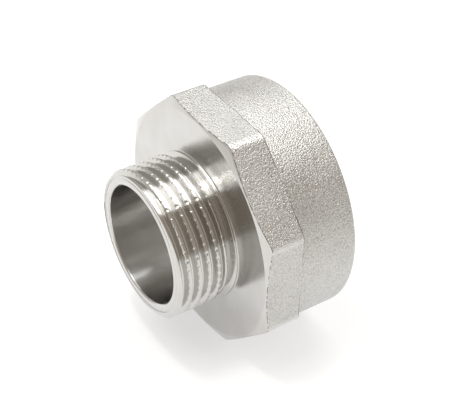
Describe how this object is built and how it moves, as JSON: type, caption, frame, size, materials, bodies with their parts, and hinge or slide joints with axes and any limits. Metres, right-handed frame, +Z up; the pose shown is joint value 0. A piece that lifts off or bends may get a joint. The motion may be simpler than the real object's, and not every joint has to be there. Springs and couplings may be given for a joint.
{
  "type": "pipe reducing adapter",
  "caption": "Nickel-plated brass pipe adapter: a male parallel thread, an octagonal wrench flange and a larger female threaded socket on one axis.",
  "frame": {"origin": "on the fitting's axis, in the plane of the flange's seat face on the male side", "axes": "+X along the axis towards the female end, +Z up out of one flat of the octagon"},
  "size_m": [0.0364, 0.053, 0.053],
  "materials": {
    "turned_plate": "nickel plate over machined brass, bright, with fine turning marks",
    "forged_plate": "nickel plate over forged and shot-blasted brass, satin, with a fine pebbled grain"
  },
  "bodies": {
    "root": {"male_spigot": "turned_plate", "male_thread": "turned_plate", "octagon_flange": "forged_plate", "female_collar": "forged_plate", "female_thread": "turned_plate"}
  },
  "joints": []
}
